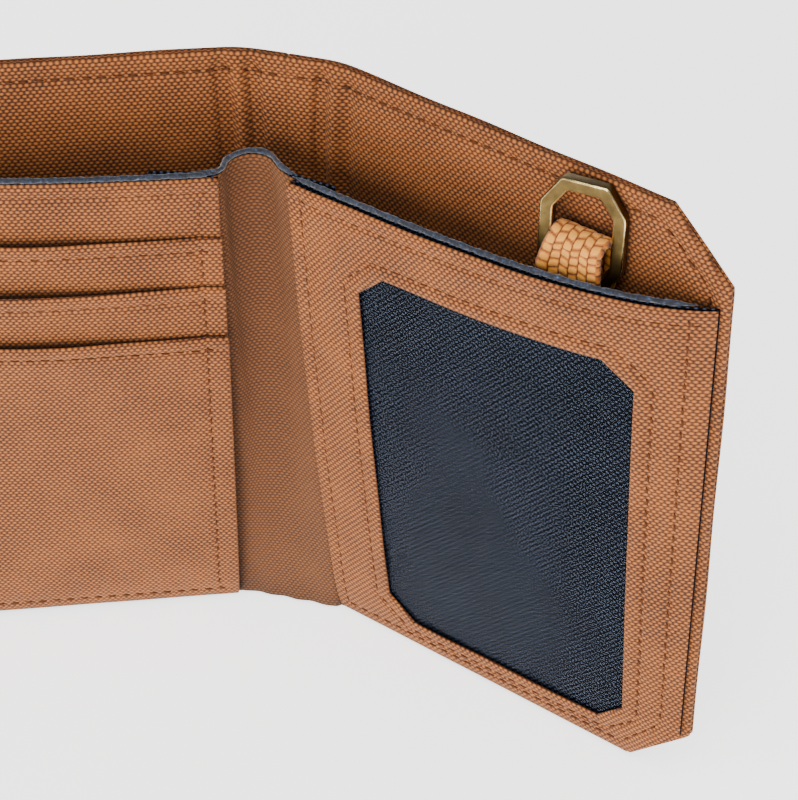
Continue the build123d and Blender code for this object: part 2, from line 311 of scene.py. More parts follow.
def woven(name, pitch, rows, stops, over=0.3, rough=0.82, sheen=0.15, bump=0.6, depth=0.00016,
          blotch=0.16, twist=0.08, shine=0.25, occlusion_shade_reach=3.5):
    """Plain-woven cloth: rows of yarn crowns, staggered like bricks, lighter as painted highlight, with
    dark gaps under each as painted shade, and painted occlusion shade in crevices.
    """
    material, tree, shader = new_material(name)
    place = add(tree, "ShaderNodeUVMap", uv_map="weave").outputs[0]
    drift = noise(tree, place, 0.55, 3.0)["Color"]
    shift = add(tree, "ShaderNodeVectorMath", {0: drift}, operation="SUBTRACT")
    shift.inputs[1].default_value = (0.5, 0.5, 0.5)
    scaled = add(tree, "ShaderNodeVectorMath", {0: shift.outputs[0]}, operation="SCALE")
    scaled.inputs["Scale"].default_value = pitch * twist * 6
    moved = add(tree, "ShaderNodeVectorMath", {0: place, 1: scaled.outputs[0]}, operation="ADD")
    split = add(tree, "ShaderNodeSeparateXYZ", {0: moved.outputs[0]})
    waves = []
    for axis, step in ((0, pitch), (1, pitch * rows)):
        turned = arithmetic(tree, "MULTIPLY", split.outputs[axis], math.pi / step)
        waves.append(add(tree, "ShaderNodeMath", {0: turned}, operation="SINE").outputs[0])
    turn_about = add(tree, "ShaderNodeMath", {0: waves[1]}, operation="SIGN").outputs[0]
    brick = arithmetic(tree, "MULTIPLY", waves[0], turn_about)
    crown = add(tree, "ShaderNodeMapRange", {"Value": brick}, From_Min=-1.0, From_Max=0.75,
                To_Min=over, To_Max=1.0).outputs[0]
    gap = add(tree, "ShaderNodeMath", {0: waves[1]}, operation="ABSOLUTE").outputs[0]
    crossing = arithmetic(tree, "MULTIPLY", arithmetic(tree, "POWER", gap, 0.5), crown)
    yarn = noise(tree, place, 1.6, 2.0)[0]
    cloud = noise(tree, place, 0.09, 4.0)[0]
    uneven = add(tree, "ShaderNodeMapRange", {"Value": arithmetic(tree, "ADD", yarn, cloud)},
                 From_Min=0.6, From_Max=1.4, To_Min=-blotch, To_Max=blotch).outputs[0]
    # Painted highlight on the yarn crowns and painted shade in the gaps, with random blotches of the
    # cloth's own tone.
    tone = arithmetic(tree, "ADD", crossing, uneven)
    # Painted shade: ambient occlusion darkens the base colour in crevices and recesses close by.
    occlusion_node = add(tree, "ShaderNodeAmbientOcclusion", Distance=occlusion_shade_reach * MM, samples=8)
    painted_occlusion_shade = add(tree, "ShaderNodeMapRange", {"Value": occlusion_node.outputs["AO"]},
               From_Min=0.15, From_Max=0.7, To_Min=0.12, To_Max=1.0).outputs[0]
    shaded = add(tree, "ShaderNodeVectorMath", {0: ramp(tree, tone, stops), "Scale": painted_occlusion_shade},
                 operation="SCALE")
    tree.links.new(shaded.outputs[0], shader.inputs["Base Color"])
    fuzz = noise(tree, place, 9.0, 2.0)[0]
    raised = arithmetic(tree, "MULTIPLY_ADD", fuzz, 0.25, crossing)
    relief(tree, shader, raised, bump, depth)
    finish(shader, Roughness=rough, IOR=1.5, Specular_IOR_Level=shine, Sheen_Weight=sheen,
           Sheen_Roughness=0.5, Sheen_Tint=linear("#E8B48A"))
    return material


# Duck canvas, piece-dyed tan: a yarn each 0.46 mm, rows 0.6 mm, bright crowns and dark between: painted
# highlight on the crowns and painted shade in the gaps.
CANVAS_PITCH = 0.46
canvas_stops = [(0.0, "#120803"), (0.25, "#40210D"), (0.6, "#7A431E"), (1.0, "#A9662E")]
tan_canvas = woven("tan_duck_canvas", CANVAS_PITCH, 1.3, canvas_stops)


def dress(piece, material):
    """Gives the piece its finish."""
    piece.data.materials.append(material)
    return piece


for side, word in ((-1, "left"), (1, "right")):
    cover = shell_layer(side, *COVER_DEPTHS, f"{word}_cover_canvas", inner=False)
    dress(cover, tan_canvas)
    bend_with_shell(cover)
    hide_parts(f"{word}_outer_canvas", "spine_outer_canvas")


# ---------------------------------------------------------------------------
# Shell, inner canvas. The same canvas lines the note compartment. It is sewn to the cover with one
# row of lockstitch 3 mm in from the edge, and creases where the wallet folds.
# ---------------------------------------------------------------------------
for side, word in ((-1, "left"), (1, "right")):
    liner = shell_layer(side, *LINER_DEPTHS, f"{word}_liner_canvas", inner=True)
    dress(liner, tan_canvas)
    bend_with_shell(liner)
    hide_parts(f"{word}_inner_canvas", "spine_inner_canvas", f"{word}_bottom_hem")


def stitch_row(name, line, spot, pitch=2.25, length=1.7, radius=0.17, lift=0.05, start=0.6):
    """A row of sewn stitches along a line of corners, lying on the surface that spot gives."""
    points, faces, marks = [], [], []
    corners = [np.array(c, float) for c in line]
    for a, b in zip(corners, corners[1:]):
        run = np.linalg.norm(b - a)
        count = max(1, int((run - start) / pitch))
        way = (b - a) / run
        for k in range(count):
            middle = start + pitch * (k + 0.5) * (run - 2 * start) / (count * pitch)
            wobble = 0.06 * math.sin(k * 2.7 + run)
            slant = np.array([-way[1], way[0]])
            ring_index = []
            for q, t in enumerate(np.linspace(-1, 1, 7)):
                flat = a + way * (middle + t * length / 2) + slant * (wobble + 0.07 * t)
                here = spot(*flat)
                ahead = spot(*(flat + way * 0.2)) - here
                beside = spot(*(flat + slant * 0.2)) - here
                ahead = ahead / np.linalg.norm(ahead)
                normal = np.cross(ahead, beside)
                normal = normal / np.linalg.norm(normal)
                if normal @ spot.facing < 0:
                    normal = -normal
                beside = np.cross(normal, ahead)
                thick = radius * math.sqrt(max(1 - t * t * 0.9, 0.02))
                centre = here + normal * (lift - 0.22 * t * t + thick * 0.35)
                ring = []
                for c in range(6):
                    turn = c * math.pi / 3
                    points.append(centre + beside * thick * math.cos(turn)
                                  + normal * thick * math.sin(turn) * 0.8)
                    # How far along the stitch from its middle: the thread material paints shade towards
                    # the needle holes from it.
                    marks.append((abs(t), 0.0))
                    ring.append(len(points) - 1)
                ring_index.append(ring)
            for r, s in zip(ring_index, ring_index[1:]):
                for c in range(6):
                    d = (c + 1) % 6
                    faces.append((r[c], r[d], s[d], s[c]))
            faces.append(tuple(ring_index[0]))
            faces.append(tuple(reversed(ring_index[-1])))
    return solid(name, points, faces, marks)


class Surface:
    """A cloth face that stitches lie on: a function of two lengths, and the way it faces."""

    def __init__(self, place, facing):
        self.place = place
        self.facing = np.array(facing, float)

    def __call__(self, x, y):
        return np.asarray(self.place(x, y), float).reshape(3)


# Bonded polyester thread, dyed to match: darker than the canvas, with painted shade darkening each
# stitch to near black towards its needle holes.
thread, tree, shader = new_material("brown_polyester_thread")
marks = add(tree, "ShaderNodeUVMap", uv_map="weave").outputs[0]
toward_hole_shade = add(tree, "ShaderNodeSeparateXYZ", {0: marks}).outputs[0]
thread_and_hole_shade_stops = [(0.0, "#5E351C"), (0.5, "#472512"), (0.82, "#1A0B05"), (1.0, "#080402")]
tree.links.new(ramp(tree, toward_hole_shade, thread_and_hole_shade_stops), shader.inputs["Base Color"])
twist = add(tree, "ShaderNodeTexWave", Scale=2600.0, Distortion=1.0)
relief(tree, shader, twist.outputs["Fac"], 0.3, 0.00005)
finish(shader, Roughness=0.8, Specular_IOR_Level=0.1)

for side, word in ((-1, "left"), (1, "right")):
    _, facing = direction(np.array(LEAF_TURN), side)
    for layer, depth, sign in (("inner", -0.20, 1), ("outer", -1.20, -1)):
        face = Surface(lambda x, y, s=side, d=depth: shell_spot(s, x, d, y), facing * sign)
        line = [(0.4, shell_stitch[0][1]), *shell_stitch[1:-1], (0.4, shell_stitch[-1][1])]
        row = stitch_row(f"{word}_{layer}_edge_stitches", line, face)
        dress(row, thread)
        bend_with_shell(row)


# ---------------------------------------------------------------------------
# Divider linings. Each divider has navy oxford cloth on its note side. Its raw top edge stands a little
# above the canvas in front of it and has frayed to a soft blue-grey line.
# ---------------------------------------------------------------------------
DIVIDER_TOP = 95.0
DIVIDER_FOOT = 1.0
DIVIDER_EDGE = 65.0
TOP_GAP = {-1: 12.6, 1: 11.5}
INNER_EDGE = {-1: 4.2, 1: 0.2}
LAYER_PRESS = 5.0
LINING_DEPTHS = (0.38, 0.0)


def divider_spot(side, along, height, depth):
    """A point of a divider: it is sewn down at its foot and outer side, and bellies open above."""
    along, height, depth = np.broadcast_arrays(*(np.asarray(x, float) for x in (along, height, depth)))
    inset = np.clip(DIVIDER_EDGE - along, 0, None)
    rise = np.clip((height - DIVIDER_FOOT) / (DIVIDER_TOP - DIVIDER_FOOT), 0, 1.1)
    belly = TOP_GAP[side] * (1 - np.exp(-inset / 17.0)) * (0.92 * rise + 0.08 * np.sin(rise * math.pi))
    off_foot = 1 - np.exp(-np.clip(height - DIVIDER_FOOT, 0, None) / 4)
    press = 0.45 + 0.55 * (1 - np.exp(-inset / LAYER_PRESS)) * off_foot
    return leaf_spot(side, along, 0.30 + belly + depth * press, height)


def divider_grid(low, high, near, far, cut, cols=84, rows=110):
    """Along and height of every point of a divider layer with its lower outer corner cut off."""
    along = np.concatenate([np.linspace(near, far - cut, cols - 14),
                            np.linspace(far - cut, far, 15)[1:]])
    start = low + np.clip(along - (far - cut), 0, None)
    share = np.linspace(0, 1, rows)[:, None]
    share = share + 0.10 * np.sin(share * 2 * math.pi) / math.pi
    height = start + share * (high - start)
    return np.broadcast_to(along, height.shape), height


DIVIDER_CUT = 9.0


def divider_sheet(name, side, grid, front, back):
    """A cloth of a divider between two depths, over a grid of along and height."""
    along, height = grid
    return slab(name, divider_spot(side, along, height, front), divider_spot(side, along, height, back),
                np.stack([side * along, height], -1))


def lean_with_divider(piece):
    """Bakes the piece's placement into its mesh."""
    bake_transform(piece)


navy_stops = [(0.0, "#010204"), (0.5, "#04070C"), (0.75, "#0D131D"), (1.0, "#3C4860")]
# Nylon oxford lining, navy, a yarn each 0.5 mm, smoother than the canvas, with bright crowns painted on
# as painted highlight specks.
navy_oxford = woven("navy_nylon_oxford", 0.5, 1.1, navy_stops, rough=0.75, sheen=0.0, bump=0.35,
                    depth=0.00008, blotch=0.08, twist=0.03, shine=0.05, occlusion_shade_reach=0.03)
for side, word in ((-1, "left"), (1, "right")):
    grid = divider_grid(DIVIDER_FOOT, DIVIDER_TOP - 0.2, INNER_EDGE[side], DIVIDER_EDGE,
                        DIVIDER_CUT)
    back_cloth = divider_sheet(f"{word}_note_side_lining", side, grid, *LINING_DEPTHS)
    dress(back_cloth, navy_oxford)
    lean_with_divider(back_cloth)
    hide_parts(f"{word}_divider_lining")

# The frayed edge: a felted roll of cut navy yarn ends, pale where the fibres stand up.
frayed_edge, tree, shader = new_material("frayed_navy_edge")
place = add(tree, "ShaderNodeTexCoord").outputs["Object"]
clumps = noise(tree, place, 2200.0, 4.0)[0]
fibre_stops = [(0.35, "#060910"), (0.52, "#121B2C"), (0.66, "#27344E"), (0.82, "#5F7192")]
tree.links.new(ramp(tree, clumps, fibre_stops), shader.inputs["Base Color"])
relief(tree, shader, clumps, 0.9, 0.0002)
finish(shader, Roughness=0.95, Sheen_Weight=0.4)


def bead(name, centres, normals, width, tall, wobble):
    """A soft roll along a line of centres, wider one way than the other, with an uneven surface."""
    points, faces, uvs = [], [], []
    count = len(centres)
    for k in range(count):
        way = centres[min(k + 1, count - 1)] - centres[max(k - 1, 0)]
        way = way / np.linalg.norm(way)
        side_way = normals[k] / np.linalg.norm(normals[k])
        up = np.array([0, 0, 1.0])
        for c in range(10):
            turn = c * math.pi / 5
            rough = 1 + wobble * (math.sin(k * 1.7 + c * 2.1) + math.sin(k * 0.61 + c * 1.3)) / 2
            rough *= min(1, (k + 1) / 8, (count - k) / 8)
            points.append(centres[k] + side_way * width / 2 * math.cos(turn) * rough
                          + up * tall / 2 * math.sin(turn) * rough)
            uvs.append((k * 0.3, c * 0.3))
    for k in range(count - 1):
        for c in range(10):
            d = (c + 1) % 10
            faces.append((k * 10 + c, k * 10 + d, (k + 1) * 10 + d, (k + 1) * 10 + c))
    faces.append(tuple(range(10)))
    faces.append(tuple((count - 1) * 10 + c for c in reversed(range(10))))
    return solid(name, points, faces, uvs)


for side, word in ((-1, "left"), (1, "right")):
    along = np.linspace(INNER_EDGE[side] + 0.2, DIVIDER_EDGE - 2.5, 170)
    centres = divider_spot(side, along, DIVIDER_TOP + 0.35, 0.2)
    _, facing = direction(np.array(LEAF_TURN), side)
    facings = np.broadcast_to(facing, centres.shape)
    roll = bead(f"{word}_frayed_top_edge", centres, facings, 0.75, 0.8, 0.3)
    dress(roll, frayed_edge)
    lean_with_divider(roll)


# ---------------------------------------------------------------------------
# Card bank. A canvas base panel with three card pockets stepped down in front of it. Every mouth is
# a folded, stitched hem that gapes a little towards the outer side, and one row holds the fold side.
# ---------------------------------------------------------------------------
BANK_SEAM = 2.7
POCKETS = ((83.6, 0.95, 1.1), (74.2, 1.60, 1.4), (64.4, 2.25, 1.4))
CLOTH = 0.5


def mouth_gape(along, height, mouth, most):
    """How far a pocket stands off at its mouth: nothing at the seam, most towards the middle."""
    inset = np.clip((along - INNER_EDGE[-1] - BANK_SEAM) / 30.0, 0, 1)
    outer = np.clip((DIVIDER_EDGE - 3 - along) / 14.0, 0, 1)
    fall = np.exp(-np.clip(mouth - height, 0, None) / 9.0)
    return most * np.sin(inset * math.pi / 2) ** 1.3 * outer * fall


class Panel:
    """The face of a canvas divider layer: pressed in along its stitches, puffed at its folded top."""

    def __init__(self, low, high, near, far, depth, grooves, sag=0.0, gape=None):
        self.low, self.high, self.near, self.far = low, high, near, far
        self.depth, self.grooves, self.sag, self.gape = depth, grooves, sag, gape

    def dip(self, along, height):
        """How far a point sinks where the top hem sags."""
        bow = np.sin(np.clip((along - self.near) / (self.far - self.near), 0, 1) * math.pi)
        return self.sag * bow * np.clip((height - self.low) / (self.high - self.low), 0, 1) ** 3

    def stand(self, along, height):
        """Depth of the face in front of the divider's lining."""
        stand = self.depth + CLOTH
        if self.gape:
            stand = stand + self.gape(along, height)
        for line in self.grooves:
            stand = stand - 0.28 * np.exp(-((line_distance(along, height, line) / 0.42) ** 2))
        stand = stand + 0.2 * np.clip(1 - np.abs(self.high - height - 1.1) / 1.3, 0, 1)
        return stand + 0.07 * np.sin(along * 0.37 + self.depth * 3) * np.sin(height * 0.23 + self.depth)

    def face(self, along, height, behind=0.0):
        """The point of the left divider at along and height, or that far behind its face."""
        stand = self.stand(along, height) - behind
        return divider_spot(-1, along, height - self.dip(along, height), stand)


def canvas_panel(name, panel, cut, cols=84, rows=130):
    """The cloth of a panel, with its hems pressed and its stitched lines drawn in."""
    along, height = divider_grid(panel.low, panel.high, panel.near, panel.far, cut, cols, rows)
    weave = np.stack([-along, height - panel.dip(along, height)], -1)
    return slab(name, panel.face(along, height), panel.face(along, height, CLOTH), weave)


bank_side = INNER_EDGE[-1]
base_line = [(bank_side + 0.5, DIVIDER_TOP - 2.7), (DIVIDER_EDGE - 0.6, DIVIDER_TOP - 2.7)]
seam_line = [(bank_side + BANK_SEAM, DIVIDER_FOOT + 0.6), (bank_side + BANK_SEAM, DIVIDER_TOP - 0.6)]
foot_line = [(bank_side + 0.5, 3.4), (DIVIDER_EDGE - DIVIDER_CUT, 3.4),
             (DIVIDER_EDGE - 3, DIVIDER_CUT + 2.2), (DIVIDER_EDGE - 3, DIVIDER_TOP - 1)]
base_panel = Panel(DIVIDER_FOOT, DIVIDER_TOP - 0.3, bank_side, DIVIDER_EDGE, 0.40,
                   [base_line, seam_line])
base = canvas_panel("card_bank_base", base_panel, DIVIDER_CUT)
dress(base, tan_canvas)
lean_with_divider(base)
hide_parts("left_base_panel")

_, left_facing = direction(np.array(LEAF_TURN), -1)
front_of_base = Surface(base_panel.face, left_facing)
base_seam = [(bank_side + BANK_SEAM, POCKETS[0][0] + 0.8), (bank_side + BANK_SEAM, 94)]
for word, line in (("top", base_line), ("seam", base_seam)):
    row = stitch_row(f"card_bank_{word}_stitches", line, front_of_base)
    dress(row, thread)
    lean_with_divider(row)

for number, (mouth, depth, most) in enumerate(POCKETS, start=1):
    mouth_line = [(bank_side + 0.5, mouth - 2.5), (DIVIDER_EDGE - 0.6, mouth - 2.5)]
    grooves = [mouth_line, seam_line] + ([foot_line] if number == 3 else [])
    panel = Panel(DIVIDER_FOOT, mouth, bank_side - 0.15 * number, DIVIDER_EDGE, depth, grooves,
                  sag=-0.4, gape=lambda x, y, m=mouth, g=most: mouth_gape(x, y, m, g))
    pocket = canvas_panel(f"card_pocket_{number}_cloth", panel, DIVIDER_CUT)
    dress(pocket, tan_canvas)
    lean_with_divider(pocket)
    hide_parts(f"card_pocket_{number}")
    side_low = POCKETS[number][0] + 0.8 if number < 3 else DIVIDER_FOOT + 3
    lines = [mouth_line, [(bank_side + BANK_SEAM, side_low), (bank_side + BANK_SEAM, mouth - 0.8)]]
    if number == 3:
        lines.append(foot_line)
        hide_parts("pocket_seam_inner", "pocket_seam_outer", "pocket_seam_bottom",
                    "pocket_seam_corner")
    for index, line in enumerate(lines, start=1):
        front = Surface(panel.face, left_facing)
        row = stitch_row(f"card_pocket_{number}_stitches_{index}", line, front)
        dress(row, thread)
        lean_with_divider(row)


# ---------------------------------------------------------------------------
# Card window, backing. The navy oxford behind the window, which a card slides in front of.
# ---------------------------------------------------------------------------
grid = divider_grid(DIVIDER_FOOT, DIVIDER_TOP - 0.6, INNER_EDGE[1], DIVIDER_EDGE, DIVIDER_CUT)
BACKING_DEPTHS = (0.62, 0.40)
backing = divider_sheet("window_backing", 1, grid, *BACKING_DEPTHS)
dress(backing, navy_oxford)
lean_with_divider(backing)
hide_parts("id_backing")


# ---------------------------------------------------------------------------
# Card window, film. Clear vinyl 0.2 mm thick, held under the canvas frame. It lies on the cloth, and
# where it touches, the cloth behind it looks wet.
# ---------------------------------------------------------------------------
WINDOW = (11.3, 55.6, 7.0, 83.7)
WINDOW_CUT = 4.6
# Clear vinyl, smooth and slightly rippled: a thin dark gloss over the navy cloth.
clear_vinyl, tree, shader = new_material("clear_vinyl_film")
place = add(tree, "ShaderNodeTexCoord").outputs["Object"]
relief(tree, shader, noise(tree, place, 90.0, 2.0)[0], 0.06, 0.0006)
finish(shader, Base_Color=linear("#05070B"), Roughness=0.18, IOR=1.53, Specular_IOR_Level=0.2,
       Alpha=0.07)
FILM_LAP = 3.0
FILM_DEPTHS = (0.92, 0.72)
along = np.linspace(WINDOW[0] - FILM_LAP, WINDOW[1] + FILM_LAP, 50)
height = np.linspace(WINDOW[2] - FILM_LAP, WINDOW[3] + FILM_LAP, 80)[:, None]
film = divider_sheet("window_vinyl", 1, np.broadcast_arrays(along, height), *FILM_DEPTHS)
dress(film, clear_vinyl)
lean_with_divider(film)
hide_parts("window_film")


# ---------------------------------------------------------------------------
# Card window, frame. One piece of canvas with an eight-sided opening, its edge folded under and
# stitched 2.3 mm out from the opening, and stitched again along its top, fold side, foot and side.
# ---------------------------------------------------------------------------
def eight_sides(left, right, low, high, cut):
    """Corners of an upright rectangle with its corners cut off, from its lower left, anticlockwise."""
    return [(left + cut, low), (right - cut, low), (right, low + cut), (right, high - cut),
            (right - cut, high), (left + cut, high), (left, high - cut), (left, low + cut)]


FRAME_DEPTH = 1.0
frame_near = INNER_EDGE[1]
frame_outer = [(frame_near + 6, DIVIDER_FOOT), (DIVIDER_EDGE - DIVIDER_CUT, DIVIDER_FOOT),
               (DIVIDER_EDGE, DIVIDER_FOOT + DIVIDER_CUT), (DIVIDER_EDGE, DIVIDER_TOP - 7),
               (DIVIDER_EDGE, DIVIDER_TOP - 0.3), (frame_near, DIVIDER_TOP - 0.3),
               (frame_near, DIVIDER_TOP - 9), (frame_near, DIVIDER_FOOT)]
window_corners = eight_sides(*WINDOW, WINDOW_CUT)
ring_out, ring_in = [], []
for k in range(8):
    a, b = np.array(frame_outer[k], float), np.array(frame_outer[(k + 1) % 8], float)
    c, d = np.array(window_corners[k], float), np.array(window_corners[(k + 1) % 8], float)
    count = max(3, int(max(np.linalg.norm(b - a), np.linalg.norm(d - c)) / 0.9))
    for t in np.arange(count) / count:
        ring_out.append(a + (b - a) * t)
        ring_in.append(c + (d - c) * t)
ring_out, ring_in = np.array(ring_out), np.array(ring_in)
share = np.concatenate([np.linspace(0, 0.35, 9), np.linspace(0.35, 1, 14)[1:]])[:, None, None]
flat = ring_in[None] + (ring_out - ring_in)[None] * share
along, height = flat[..., 0], flat[..., 1]
WINDOW_HEM = 2.3
window_stitch = eight_sides(WINDOW[0] - WINDOW_HEM, WINDOW[1] + WINDOW_HEM, WINDOW[2] - WINDOW_HEM,
                            WINDOW[3] + WINDOW_HEM, WINDOW_CUT + 0.9)
window_stitch = window_stitch + [window_stitch[0]]
frame_top = [(frame_near + 0.6, DIVIDER_TOP - 2.9), (DIVIDER_EDGE - 0.8, DIVIDER_TOP - 2.9)]
frame_fold = [(frame_near + 1.9, DIVIDER_FOOT + 1.6), (frame_near + 1.9, DIVIDER_TOP - 0.8)]
frame_side = [(frame_near + 1.2, 3.3), (DIVIDER_EDGE - DIVIDER_CUT - 1, 3.3),
              (DIVIDER_EDGE - 3.1, DIVIDER_CUT + 2.4), (DIVIDER_EDGE - 3.1, DIVIDER_TOP - 0.8)]


def frame_stand(x, y):
    """Depth of the frame's face: pressed in along its stitches and soft at its folded edges."""
    stand = FRAME_DEPTH + CLOTH
    for line in (window_stitch, frame_top, frame_fold, frame_side):
        stand = stand - 0.28 * np.exp(-((line_distance(x, y, line) / 0.42) ** 2))
    lip = line_distance(x, y, window_corners + [window_corners[0]])
    stand = stand + 0.13 * np.clip(1 - np.abs(lip - 1.0) / 1.2, 0, 1)
    stand = stand + 0.12 * np.clip(1 - np.abs(DIVIDER_TOP - 0.3 - y - 1.2) / 1.4, 0, 1)
    return stand + 0.06 * np.sin(x * 0.33 + 1) * np.sin(y * 0.21)


stand = frame_stand(along, height)
face = slab("window_frame_canvas", divider_spot(1, along, height, stand),
            divider_spot(1, along, height, stand - CLOTH), np.stack([along, height], -1), wrap=True)
dress(face, tan_canvas)
lean_with_divider(face)
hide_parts("id_frame", "id_seam_top", "id_seam_outer", "id_seam_bottom", "id_seam_corner")
_, right_facing = direction(np.array(LEAF_TURN), 1)
front_of_frame = Surface(lambda x, y: divider_spot(1, x, y, frame_stand(x, y)), right_facing)
frame_rows = (("window", window_stitch), ("top", frame_top), ("fold", frame_fold),
              ("side", frame_side))
for word, line in frame_rows:
    row = stitch_row(f"frame_{word}_stitches", line, front_of_frame)
    dress(row, thread)
    lean_with_divider(row)


# ---------------------------------------------------------------------------
# Gusset. A strip of the same canvas over navy lining joins the two dividers across the fold. It is
# pushed back into a trough when the wallet stands open, and lies flat to the spine at the foot.
# ---------------------------------------------------------------------------
def through(points, count):
    """A smooth line through some points, in count equal steps of length."""
    points = np.array(points, float)
    padded = np.vstack([2 * points[0] - points[1], points, 2 * points[-1] - points[-2]])
    fine = []
    for k in range(1, len(padded) - 2):
        p0, p1, p2, p3 = padded[k - 1 : k + 3]
        for t in np.linspace(0, 1, 24, endpoint=False):
            fine.append(0.5 * ((2 * p1) + (p2 - p0) * t + (2 * p0 - 5 * p1 + 4 * p2 - p3) * t * t
                               + (3 * p1 - p0 - 3 * p2 + p3) * t ** 3))
    fine.append(points[-1])
    fine = np.array(fine)
    length = np.concatenate([[0], np.cumsum(np.linalg.norm(np.diff(fine, axis=0), axis=1))])
    at_length = np.linspace(0, length[-1], count)
    even = [np.interp(at_length, length, fine[:, i]) for i in range(fine.shape[1])]
    return np.stack(even, -1), at_length


def gusset_line(offset):
    """The gusset in plan at its top and at its foot, from behind one divider to behind the other."""
    tucked = offset - np.array([1.3, 0.5])
    spine = np.array([[-7.0, -0.75], [-3.5, -0.7], [0, -0.7], [3.5, -0.7], [6.4, -0.8]])
    trough = np.array([[-6.6, -8.4], [-4.9, -6.1], [-2.9, -5.3], [-0.7, -5.9], [1.2, -7.9]])
    lines = []
    levels = ((DIVIDER_TOP, trough, 9.5, 6.5), (DIVIDER_FOOT, spine, 4.0, 3.0))
    for level, middle, left_wing, right_wing in levels:
        left_wing_at = INNER_EDGE[-1] + np.array([left_wing, 0.4])
        right_wing_at = INNER_EDGE[1] + np.array([0.4, right_wing])
        left = divider_spot(-1, left_wing_at, level, tucked)[:, :2]
        right = divider_spot(1, right_wing_at, level, tucked[::-1])[:, :2]
        lines.append(through(np.vstack([left, middle - np.array([0, offset]), right]), 60))
    return lines[0][0], lines[1][0], lines[0][1]


def gusset_sheet(offset, top_height):
    """One face of the gusset as a grid of points, offset out from its lining's back."""
    top, foot, length = gusset_line(offset)
    height = np.linspace(DIVIDER_FOOT, top_height, 110)
    share = ((height - DIVIDER_FOOT) / (DIVIDER_TOP - DIVIDER_FOOT))[:, None, None] ** 1.05
    plan = foot[None] * (1 - share) + top[None] * share
    grid = np.concatenate([plan, np.broadcast_to(height[:, None, None], plan.shape[:2] + (1,))], -1)
    pucker = 0.12 * np.sin(length * 1.1)[None] * np.exp(-(height[:, None] - DIVIDER_FOOT) / 5)
    grid[..., 1] -= pucker
    weave = np.stack(np.broadcast_arrays(length[None] - 10, height[:, None]), -1)
    return grid, weave


GUSSET_CANVAS_OFFSETS = (0.90, 0.42)
GUSSET_LINING_OFFSETS = (0.38, 0.05)
face, weave = gusset_sheet(GUSSET_CANVAS_OFFSETS[0], DIVIDER_TOP - 0.3)
rear, _ = gusset_sheet(GUSSET_CANVAS_OFFSETS[1], DIVIDER_TOP - 0.3)
trough = slab("gusset_canvas_strip", face, rear, weave)
# The same canvas with darker stops and a wide occlusion reach: painted shade for the recessed trough.
painted_shade_fold_stops = [(0.0, "#0E0703"), (0.25, "#331B0C"), (0.6, "#5C3519"), (1.0, "#7E4C26")]
gusset_canvas = woven("tan_duck_canvas_painted_shade", CANVAS_PITCH, 1.3, painted_shade_fold_stops, over=0.45,
                      blotch=0.1, occlusion_shade_reach=12)
dress(trough, gusset_canvas)
rear_face, lining_weave = gusset_sheet(GUSSET_LINING_OFFSETS[0], DIVIDER_TOP + 0.4)
rear_back, _ = gusset_sheet(GUSSET_LINING_OFFSETS[1], DIVIDER_TOP + 0.4)
trough_lining = slab("gusset_lining_strip", rear_face, rear_back, lining_weave)
dress(trough_lining, navy_oxford)
plan, _ = gusset_sheet(0.22, DIVIDER_TOP)
centres = plan[-1].copy()
centres[:, 2] = DIVIDER_TOP + 0.35
tangent = np.gradient(centres, axis=0)
normals = np.stack([tangent[:, 1], -tangent[:, 0], 0 * tangent[:, 0]], -1)
trough_edge = bead("gusset_frayed_edge", centres[8:-8], normals[8:-8], 0.75, 0.8, 0.3)
dress(trough_edge, frayed_edge)
for piece in (trough, trough_lining, trough_edge):
    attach(piece, "spine")
    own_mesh(piece)
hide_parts("gusset_canvas")
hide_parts("gusset_lining")


# ---------------------------------------------------------------------------
# Webbing loop. Heavy tan herringbone webbing, folded over the ring's lower bar and caught between the
# right leaf's liner and its divider. Six slanting ribs of yarn run across its width.
# ---------------------------------------------------------------------------
LOOP_ALONG = 44.0
LOOP_TOP = 100.2
LOOP_FOOT = 79.0
WEBBING = 1.1
WEBBING_WIDTH = 8.2
LOOP_DEPTH = 5.5
turn_z = LOOP_TOP - LOOP_DEPTH / 2
arc = np.linspace(0, math.pi, 13)[1:-1]
reach = (LOOP_DEPTH - WEBBING) / 2
loop_path = [(1.9, LOOP_FOOT), (1.9, 83.0), (3.3, 86.2), (LOOP_DEPTH - WEBBING / 2, 88.6)]
loop_path += [(LOOP_DEPTH - WEBBING / 2, turn_z)]
loop_path += [(LOOP_DEPTH / 2 + reach * math.cos(a), turn_z + reach * math.sin(a)) for a in arc]
loop_path += [(WEBBING / 2, turn_z), (WEBBING / 2, 90.0), (WEBBING / 2, LOOP_FOOT)]
loop_plan, loop_length = through(loop_path, 380)
across = np.linspace(-0.5, 0.5, 79) * WEBBING_WIDTH
front_leg = np.clip((loop_plan[:, 0] - 2.75) / 1.4, 0, 1)
front_leg = front_leg * np.clip((turn_z + 1.5 - loop_plan[:, 1]) / 4, 0, 1)
tangent = np.gradient(loop_plan, axis=0)
tangent /= np.linalg.norm(tangent, axis=1)[:, None]
loop_normal = np.stack([tangent[:, 1], -tangent[:, 0]], -1)
columns = WEBBING_WIDTH / 6
cell = (across[None] + WEBBING_WIDTH / 2) / columns
slant = np.where(np.floor(np.clip(cell, 0, 5.999)) % 2 == 0, 1, -1)
rib_turn = loop_length[:, None] / 1.5 + slant * (cell % 1 - 0.5) * 0.25 + (slant > 0) * 0.5
rib = np.abs(np.sin(np.pi * rib_turn))
valley = np.abs(np.sin(np.pi * np.clip(cell, 0.02, 5.98)))
lump = rib ** 0.32 * valley ** 0.13
middle = loop_plan[:, None] * np.ones((1, len(across), 1))
hug = 1 - 0.10 * np.abs(across[None] / (WEBBING_WIDTH / 2)) ** 6
